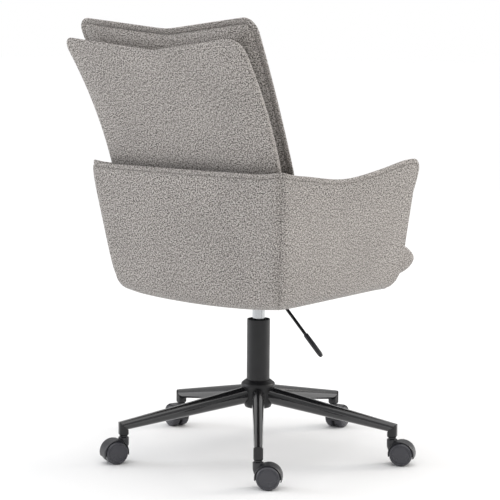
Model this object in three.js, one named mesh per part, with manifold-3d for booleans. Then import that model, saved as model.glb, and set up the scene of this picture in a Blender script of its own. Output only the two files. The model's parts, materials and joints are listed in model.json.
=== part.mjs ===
// Swivel office chair: an upholstered tub on a gas-sprung column, a five-leg base and twin-wheel
// casters. Millimetres, +Z up. The floor is z = 0, the column stands on the Z axis, and the sitter
// faces -Y. The seat is at its lowest.
import * as THREE from 'three';
import { mergeVertices } from 'three/addons/utils/BufferGeometryUtils.js';
import Module from 'manifold-3d';

const wasm = await Module();
wasm.setup();

// ---- driving dimensions ----------------------------------------------------------------------
const GAP = 0.3;                 // clearance between pieces that touch on the real chair
const LEGS = 5;
const BASE_RADIUS = 306;         // column axis to caster stem
const BASE_TURN = 130;           // direction of the first leg, degrees from +X
const SOCKET_WIDTH = 20;         // caster socket at a leg's end
const SOCKET_BOTTOM = 60;
const HUB_RADIUS = 31.5;
const LEG_ROOT = { radius: 24, top: 153, bottom: 114, width: 29 };
const LEG_END = { top: 93.7, bottom: 71.5, width: 19 }; // where the mitre over the socket starts
const MITRE_TOP = 89.3;          // outer top corner of a socket

const STEM_RADIUS = 5.5;
const WHEEL_RADIUS = 25;
const WHEEL_WIDTH = 18;
const WHEEL_INNER_FACE = 3.6;    // wheel's inner face from the caster's middle plane
const CASTER_TRAIL = 21.5;        // swivel axis to wheel axle
const CASTER_YAWS = [84, 4, 4.5, -2, 9]; // which way each caster trails, degrees from its leg
const AXLE_RADIUS = 3;
const HOOD_RADIUS = 28.8;
const HOOD_HALF_WIDTH = 17;

const COLUMN = { radius: 25.4, wall: 2, bottom: 103.5, top: 302 };
const ROD_RADIUS = 5;
const PISTON = { radius: 11, bottom: 298, top: 312 };
const CYLINDER = { radius: 14, bore: 11.4, bottom: 124, top: 345 };
const PIN_RADIUS = 3;

const LEVER_PIVOT = { x: -22, z: 352 };
const LEVER_SLOPE = 43.5;        // fall of the outer rod, degrees
const LEVER_BEND_X = -58;
const LEVER_ROD = 102;           // sloping rod that shows above the grip
const GRIP_LENGTH = 62;

const PLATE = { bottom: 363.3, thick: 3, width: 180, depth: 150 };
const CHANNEL = { bottom: 338, width: 64, depth: 110, wall: 2.5 };
const BOLT_SPACING = { x: 150, y: 118 };
const BOARD = { bottom: 368.7, thick: 15 };

const TUB = {
  bottom: 362, top: 647, edge: 28,               // edge: radius along the lower edge
  rearX: [231, 270], frontX: [223, 269],         // half widths at the bottom and at the top
  rearY: [213, 257], frontY: -222,
  corner: 22, bow: 6, wall: [24, 26],
};
const ARM_DIP = { y: 45, depth: 19, reach: 125 };
const ARM_TIP = { y: -195, height: 12, reach: 75 };
const SEAT = { bottom: 389, top: 474, clearance: 3, rear: 168, front: -290 };

// Leaning curves of the back, as offset + slope * s + curve * s^2 with s the height above the level.
const BACK_LEVEL = 650;
const BACK_BOTTOM = 477;
const REAR_FACE = { offset: 227.5, slope: 0.312, curve: 0.0008 };  // rear face of the rear panel
const SEAM_PLANE = { offset: 175, slope: 0.392, curve: 0.0002 };   // widest plane of the cushion
const REAR_PANEL = {
  thick: 24, halfWidth: [210, 233.5, 240], cornerTop: 913, middleTop: 890, edge: 7, taper: 3,
};
const BACK_CUSHION = {
  rear: 26, front: 34, halfWidth: [208, 233, 243], cornerTop: 955, middleTop: 932, edge: 36,
  taper: 25,
};

// A cushion's outline: corners cut back over a height, the share of that cut taken off its width,
// the thinnest an edge gets as a share of the full depth, and how the top rises to its corners.
const BACK_OUTLINE = { cornerRound: 24, cornerShare: 0.9, thinnest: 0.12, footing: 4, rise: 1.15 };
const GUARD = { barrelRadius: 11.5, barrelFrom: 30, barrelTo: 55.5, wheelGap: 0.6, rimGap: 1.2 };
const WHEEL_RIM = { inner: 2, outer: 3, dish: 5 };   // chamfers of a wheel and depth of its face

// ---- materials -------------------------------------------------------------------------------
const finish = (color, roughness, metalness) => (
  new THREE.MeshStandardMaterial({ color, roughness, metalness }));
const fabric = finish(0xa39e9a, 0.95, 0);
const glossSteel = finish(0x26262a, 0.3, 0.3);
const mattSteel = finish(0x2e2e30, 0.6, 0.3);
const chrome = finish(0xc4c6c8, 0.15, 1);
const zincSteel = finish(0x9a9da0, 0.4, 1);
const blackPlastic = finish(0x2b2b2e, 0.45, 0);
const wheelNylon = finish(0x424147, 0.4, 0);
const whitePlastic = finish(0xd8d6cf, 0.5, 0);
const plywood = finish(0xb99a6b, 0.8, 0);
const nonWoven = finish(0x1c1c1d, 0.95, 0);

// ---- geometry helpers --------------------------------------------------------------------------
const v3 = (x, y, z) => new THREE.Vector3(x, y, z);
const rad = THREE.MathUtils.degToRad;
const lerp = THREE.MathUtils.lerp;

// Leaves only positions, shared between faces, with the faces pointing out.
function welded(geometry) {
  const bare = geometry.clone();
  bare.deleteAttribute('normal');
  bare.deleteAttribute('uv');
  const merged = mergeVertices(bare, 1e-4);
  const p = merged.getAttribute('position');
  const corner = [0, 1, 2].map(() => new THREE.Vector3());
  const kept = [];
  let volume = 0;
  for (let i = 0; i < merged.index.count; i += 3) {
    const face = [0, 1, 2].map((k) => merged.index.getX(i + k));
    if (new Set(face).size < 3) continue;
    kept.push(...face);
    face.forEach((vertex, k) => corner[k].fromBufferAttribute(p, vertex));
    volume += corner[0].dot(corner[1].clone().cross(corner[2]));
  }
  merged.setIndex(volume < 0 ? kept.reverse() : kept);
  return merged;
}

function solidOf(geometry) {
  const g = welded(geometry);
  return new wasm.Manifold(new wasm.Mesh({
    numProp: 3,
    vertProperties: new Float32Array(g.getAttribute('position').array),
    triVerts: new Uint32Array(g.index.array),
  }));
}

function geometryOf(solid) {
  const mesh = solid.getMesh();
  const g = new THREE.BufferGeometry();
  g.setAttribute('position', new THREE.BufferAttribute(mesh.vertProperties, mesh.numProp));
  g.setIndex(new THREE.BufferAttribute(mesh.triVerts, 1));
  return g;
}

// Joins the first list and cuts the second list from it.
function carved(joined, cut = []) {
  let solid = solidOf(joined[0]);
  joined.slice(1).forEach((g) => { solid = solid.add(solidOf(g)); });
  cut.forEach((g) => { solid = solid.subtract(solidOf(g)); });
  return geometryOf(solid);
}

// A turned piece: [radius, z] pairs that start and end on the axis, or close on themselves.
function turned(profile, segments) {
  const points = profile.map(([r, z]) => new THREE.Vector2(r, z));
  return new THREE.LatheGeometry(points, segments).rotateX(Math.PI / 2);
}

function box(x0, x1, y0, y1, z0, z1) {
  return new THREE.BoxGeometry(x1 - x0, y1 - y0, z1 - z0)
    .translate((x0 + x1) / 2, (y0 + y1) / 2, (z0 + z1) / 2);
}

// A round bar along X, Y or Z between two coordinates of that axis, centred on (a, b) of the others.
function bar(axis, radius, from, to, [a, b], segments) {
  const g = new THREE.CylinderGeometry(radius, radius, to - from, segments);
  const middle = (from + to) / 2;
  if (axis === 'x') return g.rotateZ(Math.PI / 2).translate(middle, a, b);
  if (axis === 'y') return g.translate(a, middle, b);
  return g.rotateX(Math.PI / 2).translate(a, b, middle);
}

// Skins rings of equal length one after the other and closes both ends with a fan.
function lofted(rings) {
  const n = rings[0].length;
  const middle = (ring) => ring.reduce((sum, q) => sum.add(q), v3(0, 0, 0)).divideScalar(n);
  const points = [...rings.flat(), middle(rings[0]), middle(rings[rings.length - 1])];
  const start = rings.length * n;
  const faces = [];
  for (let i = 0; i < n; i += 1) {
    const j = (i + 1) % n;
    for (let k = 0; k < rings.length - 1; k += 1) {
      const a = k * n;
      faces.push(a + i, a + j, a + n + j, a + i, a + n + j, a + n + i);
    }
    faces.push(start, j, i, start + 1, start - n + i, start - n + j);
  }
  const g = new THREE.BufferGeometry();
  g.setAttribute('position', new THREE.Float32BufferAttribute(points.flatMap((q) => q.toArray()), 3));
  g.setIndex(faces);
  return welded(g);
}

// An outline in plan, extruded upwards from z0 to z1.
function slab(shape, z0, z1, curveSegments = 4) {
  const options = { depth: z1 - z0, bevelEnabled: false, curveSegments };
  return new THREE.ExtrudeGeometry(shape, options).translate(0, 0, z0);
}

function roundedRectangle(x0, x1, y0, y1, r) {
  const s = new THREE.Shape();
  s.moveTo(x0 + r, y0);
  s.lineTo(x1 - r, y0).absarc(x1 - r, y0 + r, r, -Math.PI / 2, 0, false);
  s.lineTo(x1, y1 - r).absarc(x1 - r, y1 - r, r, 0, Math.PI / 2, false);
  s.lineTo(x0 + r, y1).absarc(x0 + r, y1 - r, r, Math.PI / 2, Math.PI, false);
  s.lineTo(x0, y0 + r).absarc(x0 + r, y0 + r, r, Math.PI, Math.PI * 1.5, false);
  return s;
}

const boltPlaces = [[-1, -1], [1, -1], [1, 1], [-1, 1]].map(([i, j]) => (
  [i * BOLT_SPACING.x / 2, j * BOLT_SPACING.y / 2]));

function withBoltHoles(shape, radius) {
  boltPlaces.forEach(([x, y]) => {
    const hole = new THREE.Path();
    hole.absarc(x, y, radius, 0, Math.PI * 2, true);
    shape.holes.push(hole);
  });
  return shape;
}

const chair = new THREE.Group();

function add(name, geometry, material, parent = chair) {
  const mesh = new THREE.Mesh(geometry, material);
  mesh.name = name;
  parent.add(mesh);
  return mesh;
}

// ---- five-leg base ---------------------------------------------------------------------------------
// The hub's outer face from bottom to top: a chamfer, a drum and a flared collar.
const hubFace = [
  [28.5, 105], [HUB_RADIUS, 113], [HUB_RADIUS, 142], [38, 153], [37, 159], [28, 166],
];

function baseHub() {
  const bore = COLUMN.radius + GAP;
  return turned([[bore, 105], ...hubFace, [bore, 166], [bore, 105]], 32);
}

// The mitre between a leg and its socket falls inwards from the socket's outer top corner.
const socketHalf = SOCKET_WIDTH / 2;
const mitre = {
  from: BASE_RADIUS - socketHalf,
  slope: (MITRE_TOP - LEG_END.bottom) / SOCKET_WIDTH,
};
const mitreHeight = (r) => LEG_END.bottom + (r - mitre.from) * mitre.slope;

// A point on a leg's oval section: r from the column axis, a round the section from its side.
function legPoint(r, a) {
  const share = (r - LEG_ROOT.radius) / (mitre.from - LEG_ROOT.radius);
  const top = lerp(LEG_ROOT.top, LEG_END.top, share);
  const bottom = lerp(LEG_ROOT.bottom, LEG_END.bottom, share);
  const width = lerp(LEG_ROOT.width, LEG_END.width, share);
  return v3(r, Math.cos(a) * width / 2, (top + bottom + Math.sin(a) * (top - bottom)) / 2);
}

// An oval steel tube that runs out along +X, tapering, and is cut by the mitre and by the hub.
function leg() {
  const sides = 14;
  const angles = Array.from({ length: sides }, (_, i) => (i / sides) * Math.PI * 2);
  const ovals = [LEG_ROOT.radius, 70, 140, 215, mitre.from - 1].map((r) => (
    angles.map((a) => legPoint(r, a))));
  const end = angles.map((a) => {
    const start = legPoint(mitre.from, a);
    const fall = start.z - legPoint(mitre.from + 1, a).z;
    const reach = (start.z - LEG_END.bottom - GAP) / (mitre.slope + fall);
    return legPoint(mitre.from + reach, a);
  });
  const hubSpace = turned(
    [[0, 95], [28.5, 95], ...hubFace.map(([r, z]) => [r + GAP, z]), [28, 175], [0, 175]], 32);
  return carved([lofted([...ovals, end])], [hubSpace]);
}

// A chamfered square post with a blind bore for the caster's stem, cut along the same mitre.
function socket() {
  const c = 4;                   // chamfer of the post's upright edges
  const outline = [
    [-socketHalf, -socketHalf + c], [-socketHalf + c, -socketHalf], [socketHalf - c, -socketHalf],
    [socketHalf, -socketHalf + c], [socketHalf, socketHalf - c], [socketHalf - c, socketHalf],
    [-socketHalf + c, socketHalf], [-socketHalf, socketHalf - c],
  ];
  const ring = (scale, z) => outline.map(([x, y]) => v3(BASE_RADIUS + x * scale, y * scale, z));
  const mitred = outline.map(([x, y]) => (
    v3(BASE_RADIUS + x, y, mitreHeight(BASE_RADIUS + x) - GAP)));
  const post = lofted([ring(0.88, SOCKET_BOTTOM), ring(1, SOCKET_BOTTOM + 2), mitred]);
  const bore = bar('z', STEM_RADIUS + GAP, SOCKET_BOTTOM - 1, SOCKET_BOTTOM + 14, [BASE_RADIUS, 0], 14);
  return carved([post], [bore]);
}

// ---- casters: built around the swivel axis, trailing towards +X ----------------------------------------
const stem = () => turned([
  [0, 50], [STEM_RADIUS, 50], [STEM_RADIUS, 56.6], [8.5, 56.6], [8.5, 59.4],
  [STEM_RADIUS, 59.4], [STEM_RADIUS, 72.5], [0, 73.5],
], 12);

// An arched guard over both wheels, a web between them and a barrel round the stem.
function hood() {
  const arch = new THREE.Shape();
  arch.absarc(CASTER_TRAIL, WHEEL_RADIUS, HOOD_RADIUS, rad(-12), rad(192), false);
  const guard = new THREE.ExtrudeGeometry(
    arch, { depth: HOOD_HALF_WIDTH * 2, bevelEnabled: false, curveSegments: 9 },
  ).rotateX(Math.PI / 2).translate(0, HOOD_HALF_WIDTH, 0);
  const barrel = bar('z', GUARD.barrelRadius, GUARD.barrelFrom, GUARD.barrelTo, [0, 0], 16);
  const web = WHEEL_INNER_FACE - GUARD.wheelGap;
  const wheelSpaces = [-1, 1].map((side) => {
    const [from, to] = [web * side, (HOOD_HALF_WIDTH + 8) * side].sort((p, q) => p - q);
    return bar('y', WHEEL_RADIUS + GUARD.rimGap, from, to, [CASTER_TRAIL, WHEEL_RADIUS], 22);
  });
  const stemBore = bar('z', STEM_RADIUS + GAP, 49, 60, [0, 0], 12);
  const axleHole = bar('y', AXLE_RADIUS + GAP, -6, 6, [CASTER_TRAIL, WHEEL_RADIUS], 10);
  return carved([guard, barrel], [...wheelSpaces, stemBore, axleHole]);
}

const axle = () => bar('y', AXLE_RADIUS, -14, 14, [CASTER_TRAIL, WHEEL_RADIUS], 10);

// A wheel with chamfered edges; its blind bore faces the web.
function wheel(side) {
  const r = WHEEL_RADIUS;
  const w = WHEEL_WIDTH;
  const { inner, outer, dish } = WHEEL_RIM;
  const bore = AXLE_RADIUS + GAP;
  const profile = [
    [bore, 0], [r - inner, 0], [r, inner], [r, w - outer], [r - outer, w], [0, w],
    [0, w - dish], [bore, w - dish], [bore, 0],
  ];
  return turned(profile, 22).rotateX(side * -Math.PI / 2)
    .translate(CASTER_TRAIL, side * WHEEL_INNER_FACE, WHEEL_RADIUS);
}

function buildBase() {
  add('base_hub', baseHub(), mattSteel);
  for (let k = 0; k < LEGS; k += 1) {
    const turn = rad(BASE_TURN + k * 360 / LEGS);
    const spoke = new THREE.Group();
    spoke.rotation.z = turn;
    chair.add(spoke);
    add(`leg_${k + 1}`, leg(), glossSteel, spoke);
    add(`leg_socket_${k + 1}`, socket(), mattSteel, spoke);
    const caster = new THREE.Group();
    caster.position.set(BASE_RADIUS, 0, 0);
    caster.rotation.z = rad(CASTER_YAWS[k]);
    spoke.add(caster);
    add(`caster_stem_${k + 1}`, stem(), zincSteel, caster);
    add(`caster_hood_${k + 1}`, hood(), blackPlastic, caster);
    add(`caster_axle_${k + 1}`, axle(), zincSteel, caster);
    add(`wheel_${k + 1}_left`, wheel(1), wheelNylon, caster);
    add(`wheel_${k + 1}_right`, wheel(-1), wheelNylon, caster);
  }
}

// ---- gas column ------------------------------------------------------------------------------------
const TUBE_FLOOR = 4;            // thickness of the column tube's closed foot

function columnTube() {
  const { radius, wall, bottom, top } = COLUMN;
  const inner = radius - wall;
  const rodHole = ROD_RADIUS + 1;
  const tube = turned([
    [rodHole, bottom], [radius - 2, bottom], [radius, bottom + 2], [radius, top - 1.5],
    [radius - 1, top], [inner, top], [inner, bottom + TUBE_FLOOR], [rodHole, bottom + TUBE_FLOOR],
    [rodHole, bottom],
  ], 32);
  // A small upright slot near the rim, where a key holds the guide bush.
  const away = rad(BASE_TURN + 124);
  const slot = box(inner - 2, radius + 2, -2, 2, top - 17, top - 8).rotateZ(away);
  return carved([tube], [slot]);
}

function guideBush() {
  const outer = COLUMN.radius - COLUMN.wall - GAP;
  const inner = CYLINDER.radius + GAP;
  return turned([
    [inner, 236], [outer, 236], [outer, 294], [outer - 5, 299], [inner + 2, 299], [inner, 297],
    [inner, 236],
  ], 24);
}

// The chromed cylinder slides up and down on the piston, and its tapered top sits in the mechanism.
function gasCylinder() {
  const { radius, bore, bottom, top } = CYLINDER;
  const neck = ROD_RADIUS + 0.6;
  const pinBore = PIN_RADIUS + 0.5;
  return turned([
    [neck, bottom], [radius - 1, bottom], [radius, bottom + 1], [radius, 328], [radius - 0.7, top],
    [pinBore, top], [pinBore, top - 14], [0, top - 14], [0, top - 20], [bore, top - 20],
    [bore, bottom + 12], [neck, bottom + 12], [neck, bottom],
  ], 22);
}

// The rod's foot stands out below the tube and is grooved for the clip.
const rodFoot = COLUMN.bottom - 7;
const clipGroove = { bottom: rodFoot + 2, top: rodFoot + 4, radius: ROD_RADIUS - 1.6 };

const pistonRod = () => turned([
  [0, rodFoot], [ROD_RADIUS - 1, rodFoot], [ROD_RADIUS - 1, clipGroove.bottom],
  [clipGroove.radius, clipGroove.bottom], [clipGroove.radius, clipGroove.top],
  [ROD_RADIUS, clipGroove.top], [ROD_RADIUS, PISTON.bottom], [PISTON.radius, PISTON.bottom],
  [PISTON.radius, PISTON.top], [0, PISTON.top],
], 16);

const ringOf = (inner, outer, z0, z1, segments) => turned(
  [[inner, z0], [outer, z0], [outer, z1], [inner, z1], [inner, z0]], segments);

function buildColumn() {
  add('column_tube', columnTube(), mattSteel);
  add('guide_bush', guideBush(), whitePlastic);
  add('gas_cylinder', gasCylinder(), chrome);
  add('piston_rod', pistonRod(), zincSteel);
  const floorOfTube = COLUMN.bottom + TUBE_FLOOR;
  add('thrust_bearing', ringOf(ROD_RADIUS + GAP, 13, floorOfTube + GAP, floorOfTube + 7, 20), zincSteel);
  add('retaining_clip', ringOf(clipGroove.radius + GAP, 9, clipGroove.bottom + GAP,
    clipGroove.top - GAP, 16), zincSteel);
  const pinTop = CYLINDER.top + 3.5;
  add('valve_pin', bar('z', PIN_RADIUS, pinTop - 12.5, pinTop, [0, 0], 14), zincSteel);
}

// ---- seat mechanism and its height lever ---------------------------------------------------------------
function seatPlate() {
  const { bottom, thick, width, depth } = PLATE;
  const top = bottom + thick;
  const c = CHANNEL;
  const flange = slab(withBoltHoles(
    roundedRectangle(-width / 2, width / 2, -depth / 2, depth / 2, 14), 3.3), bottom, top);
  const channel = box(-c.width / 2, c.width / 2, -c.depth / 2, c.depth / 2, c.bottom, bottom + 1);
  const hollow = box(-c.width / 2 + c.wall, c.width / 2 - c.wall, -c.depth / 2 + c.wall,
    c.depth / 2 - c.wall, c.bottom + c.wall, top + 1);
  const boss = bar('z', 19, c.bottom - 2, c.bottom + 7, [0, 0], 22);
  const seatBore = bar('z', CYLINDER.radius + GAP, c.bottom - 3, c.bottom + 8, [0, 0], 22);
  const slot = box(-c.width / 2 - 1, -c.width / 2 + c.wall + 1, -5, 5, 347, 359);
  const pinHoles = bar('y', 2.5 + GAP, -c.depth, c.depth, [LEVER_PIVOT.x, LEVER_PIVOT.z], 12);
  const shell = carved([flange, channel], [hollow]);
  return carved([shell, boss], [seatBore, slot, pinHoles]);
}

const slope = rad(LEVER_SLOPE);
// A point a distance along the sloping rod from its bend.
const along = (d) => v3(
  LEVER_BEND_X - d * Math.cos(slope), 0, LEVER_PIVOT.z - d * Math.sin(slope));

function leverRod() {
  const rodRadius = 3.5;
  const sides = 10;
  const bendPoints = [v3(LEVER_PIVOT.x - 4, 0, LEVER_PIVOT.z), v3(LEVER_BEND_X + 10, 0, LEVER_PIVOT.z)];
  const curve = new THREE.QuadraticBezierCurve3(
    bendPoints[1], v3(LEVER_BEND_X, 0, LEVER_PIVOT.z), along(10));
  const centres = [bendPoints[0], ...curve.getPoints(5), along(LEVER_ROD + 40)];
  const rings = centres.map((centre, i) => {
    const before = centres[Math.max(i - 1, 0)];
    const after = centres[Math.min(i + 1, centres.length - 1)];
    const tangent = after.clone().sub(before).normalize();
    const across = v3(0, 1, 0);
    const up = tangent.clone().cross(across);
    return Array.from({ length: sides }, (_, k) => {
      const a = (k / sides) * Math.PI * 2;
      return centre.clone().addScaledVector(across, rodRadius * Math.cos(a))
        .addScaledVector(up, rodRadius * Math.sin(a));
    });
  });
  const { x, z } = LEVER_PIVOT;
  const eye = box(x - 6, x + 8, -7, 7, z - 5, z + 5);
  const finger = box(x + 7, 6, -5, 5, z - 3, z + 1);
  const hole = bar('y', 2.5 + GAP, -8, 8, [x, z], 12);
  return carved([lofted(rings), eye, finger], [hole]);
}

function leverGrip() {
  const bore = 3.5 + GAP;
  const grip = turned([
    [bore, 0], [4.6, 0], [5.3, 2], [5.3, GRIP_LENGTH - 4], [3.4, GRIP_LENGTH - 0.8], [0, GRIP_LENGTH],
    [0, 42], [bore, 42], [bore, 0],
  ], 12);
  // Local +Z turns to point down the sloping rod.
  const start = along(LEVER_ROD);
  return grip.rotateY(-Math.PI / 2 - slope).translate(start.x, start.y, start.z);
}

const plateBolt = (x, y) => carved([
  bar('z', 5.8, PLATE.bottom - GAP - 4.2, PLATE.bottom - GAP, [x, y], 6),
  bar('z', 2.9, PLATE.bottom - GAP - 1, BOARD.bottom + BOARD.thick - 2, [x, y], 12),
]);

function buildMechanism() {
  add('seat_plate', seatPlate(), mattSteel);
  add('lever_rod', leverRod(), glossSteel);
  add('lever_grip', leverGrip(), blackPlastic);
  add('lever_pivot', bar('y', 2.5, -CHANNEL.depth / 2 - 1.5, CHANNEL.depth / 2 + 1.5,
    [LEVER_PIVOT.x, LEVER_PIVOT.z], 12), zincSteel);
  boltPlaces.forEach(([x, y], i) => add(`plate_bolt_${i + 1}`, plateBolt(x, y), zincSteel));
}

// ---- upholstered tub: back wall and two arms in one U -------------------------------------------------
const tubShare = (z) => (z - TUB.bottom) / (TUB.top - TUB.bottom);

// Height of the tub's top edge: it dips along each arm and rises again towards the arm's tip.
function topEdge(y) {
  const dip = ARM_DIP.depth * Math.exp(-(((y - ARM_DIP.y) / ARM_DIP.reach) ** 2));
  const rise = ARM_TIP.height * Math.exp(-(((y - ARM_TIP.y) / ARM_TIP.reach) ** 2));
  return TUB.top - dip + rise;
}

// Plan position at a height and a distance in from the outer face. u runs 0..1 from the left arm's
// front, along the arm, round the corner and over half of the back wall; 2 - u is its mirror.
const ARM_SHARE = 0.5;
const CORNER_SHARE = 0.2;

function tubPoint(u, z, inset) {
  const share = tubShare(z);
  const rearX = lerp(...TUB.rearX, share) - inset;
  const frontX = lerp(...TUB.frontX, share) - inset;
  const rearY = lerp(...TUB.rearY, share) - inset;
  const radius = Math.max(TUB.corner - inset, 12);
  const armEnd = rearY - radius;
  const w = Math.min(u, 2 - u);
  let x;
  let y;
  if (w <= ARM_SHARE) {
    x = lerp(frontX, rearX, w / ARM_SHARE);
    y = lerp(TUB.frontY, armEnd, w / ARM_SHARE);
  } else if (w <= ARM_SHARE + CORNER_SHARE) {
    const a = ((w - ARM_SHARE) / CORNER_SHARE) * Math.PI / 2;
    x = rearX - radius + radius * Math.cos(a);
    y = armEnd + radius * Math.sin(a);
  } else {
    x = (rearX - radius) * (1 - w) / (1 - ARM_SHARE - CORNER_SHARE);
    y = rearY;
  }
  const bow = w > ARM_SHARE ? TUB.bow * (1 - (x / rearX) ** 2) : 0;
  return v3(u > 1 ? -x : x, y + bow, z);
}

function tubShell() {
  const arm = Array.from({ length: 8 }, (_, i) => (i / 8) * ARM_SHARE);
  const half = [...arm, 0.5, 0.55, 0.6, 0.65, 0.7, 0.8, 0.9];
  const stations = [...half, 1, ...half.map((u) => 2 - u).reverse()];
  const { bottom, edge, wall } = TUB;
  const lowEdge = [0, 30, 60, 90].map(rad).map((a) => (
    [bottom + edge * (1 - Math.cos(a)), edge * (1 - Math.sin(a))]));
  const rings = stations.map((u) => {
    const top = topEdge(tubPoint(u, TUB.top, 0).y);
    const outer = [...lowEdge, [lerp(bottom, top, 0.55), -2], [top - 5, 0], [top, 6]];
    const inner = [[top, wall[1] - 6], [top - 6, wall[1]], [bottom, wall[0]]];
    return [...outer, ...inner].map(([z, inset]) => tubPoint(u, z, inset));
  });
  return lofted(rings);
}

// ---- back: a thin rear panel and a thick cushion in front of it, both on leaning curves ----------------
function leaning(face, z) {
  const s = z - BACK_LEVEL;
  return face.offset + face.slope * s + face.curve * s * s;
}

// A form that is widest on one plane, with a rear and a front face that round towards it at the
// edges. Its top edge dips in the middle. depths(z) gives the y of the rear, widest and front planes.
function backForm(piece, depths) {
  const levels = [0, 0.015, 0.06, 0.25, 0.45, 0.65, 0.8, 0.88, 0.94, 0.98, 1];
  const columns = [-1, -0.85, -0.5, 0, 0.5, 0.85, 1];
  const [low, rim, high] = piece.halfWidth;
  const rings = levels.map((t) => {
    const level = lerp(BACK_BOTTOM, piece.cornerTop, t);
    const full = level < TUB.top
      ? lerp(low, rim, (level - BACK_BOTTOM) / (TUB.top - BACK_BOTTOM))
      : lerp(rim, high, (level - TUB.top) / (piece.cornerTop - TUB.top));
    const below = piece.cornerTop - level;
    const cut = Math.max(0, 1 - below / BACK_OUTLINE.cornerRound);
    const cornerCut = BACK_OUTLINE.cornerRound * BACK_OUTLINE.cornerShare;
    const halfWidth = full - cornerCut * (1 - Math.sqrt(1 - cut * cut));
    const fromEnd = Math.min(below, level - BACK_BOTTOM + BACK_OUTLINE.footing);
    const near = Math.max(0, 1 - fromEnd / piece.edge);
    const fullness = Math.max(Math.sqrt(1 - near * near), BACK_OUTLINE.thinnest);
    const place = (c, plane) => {
      const top = lerp(piece.middleTop, piece.cornerTop, Math.abs(c) ** BACK_OUTLINE.rise);
      const z = lerp(BACK_BOTTOM, top, t);
      const [rear, seam, front] = depths(z);
      const y = lerp(seam, { rear, seam, front }[plane], fullness);
      const inset = plane === 'seam' ? 0 : piece.taper;
      return v3(c * (halfWidth - inset), y, z);
    };
    return [
      place(-1, 'seam'), ...columns.map((c) => place(c, 'rear')),
      place(1, 'seam'), ...[...columns].reverse().map((c) => place(c, 'front')),
    ];
  });
  return lofted(rings);
}

function rearPanel() {
  return backForm(REAR_PANEL, (z) => {
    const rear = leaning(REAR_FACE, z);
    return [rear, rear - REAR_PANEL.thick / 2, rear - REAR_PANEL.thick];
  });
}

function backCushion() {
  return backForm(BACK_CUSHION, (z) => {
    const behind = leaning(REAR_FACE, z) - REAR_PANEL.thick - 2;
    const seam = leaning(SEAM_PLANE, z);
    return [Math.min(behind, seam + BACK_CUSHION.rear), seam, seam - BACK_CUSHION.front];
  });
}

// ---- seat and hidden structure ----------------------------------------------------------------------
// It fills the tub from arm to arm, rounded all round, and stands out in front of the arms.
function seatCushion() {
  const levels = [[0, 12], [0.1, 3], [0.4, 0], [0.8, 0], [0.93, 4], [1, 14]];
  const rings = levels.map(([t, shrink]) => {
    const z = lerp(SEAT.bottom, SEAT.top, t);
    const share = tubShare(z);
    const wall = lerp(...TUB.wall, share) + SEAT.clearance + shrink;
    const corner = ([x, y], r, from) => [0, 30, 60, 90].map((step) => {
      const a = rad(from + step);
      return v3(x + r * Math.cos(a), y + r * Math.sin(a), z);
    });
    const rear = SEAT.rear - shrink;
    const front = SEAT.front + shrink;
    const rearX = lerp(...TUB.rearX, share) - wall;
    const frontX = lerp(...TUB.frontX, share) - wall;
    const [rearRound, frontRound] = [20, 18];
    return [
      ...corner([rearX - rearRound, rear - rearRound], rearRound, 0),
      ...corner([-rearX + rearRound, rear - rearRound], rearRound, 90),
      ...corner([-frontX + frontRound, front + frontRound], frontRound, 180),
      ...corner([frontX - frontRound, front + frontRound], frontRound, 270),
    ];
  });
  return lofted(rings);
}

// A steel strip with a foot on the seat board and an upright between the rear panel and the tub.
const BRACKET = { thick: 3, width: 40, place: 110, from: 60, bend: 189, top: 218, height: 200 };

function backBracket(side) {
  const { thick, width, place, from, bend, top, height } = BRACKET;
  const foot = BOARD.bottom + BOARD.thick + GAP;
  const profile = new THREE.Shape([
    [from, foot], [bend, foot], [top, foot + height], [top - thick, foot + height],
    [bend - thick + 0.5, foot + thick], [from, foot + thick],
  ].map(([y, z]) => new THREE.Vector2(y, z)));
  return new THREE.ExtrudeGeometry(profile, { depth: width, bevelEnabled: false })
    .rotateX(Math.PI / 2).rotateZ(Math.PI / 2).translate(side * place - width / 2, 0, 0);
}

function buildUpholstery() {
  add('tub_shell', tubShell(), fabric);
  add('seat_cushion', seatCushion(), fabric);
  add('backrest_panel', rearPanel(), fabric);
  add('back_cushion', backCushion(), fabric);
  const inside = TUB.frontX[0] - TUB.wall[0] - 4;
  const boardOutline = () => withBoltHoles(
    roundedRectangle(-inside, inside, TUB.frontY + 4, TUB.rearY[0] - TUB.wall[0] - 6, 16), 3.3);
  add('seat_board', slab(boardOutline(), BOARD.bottom, BOARD.bottom + BOARD.thick), plywood);
  add('dust_cover', slab(boardOutline(), BOARD.bottom - 2.1, BOARD.bottom - GAP), nonWoven);
  add('back_bracket_left', backBracket(1), zincSteel);
  add('back_bracket_right', backBracket(-1), zincSteel);
}

buildBase();
buildColumn();
buildMechanism();
buildUpholstery();

export default chair;
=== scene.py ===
# Looks of a swivel office chair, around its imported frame: smooth surfaces for the steel, the
# casters and the upholstery, and a finish for every piece. Laid out as an add-on and run as a
# script. Lengths are metres; +Z is up and the sitter faces -Y.
import json
import math

import bmesh
import bpy
import numpy as np
from mathutils import Matrix, Vector


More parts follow.
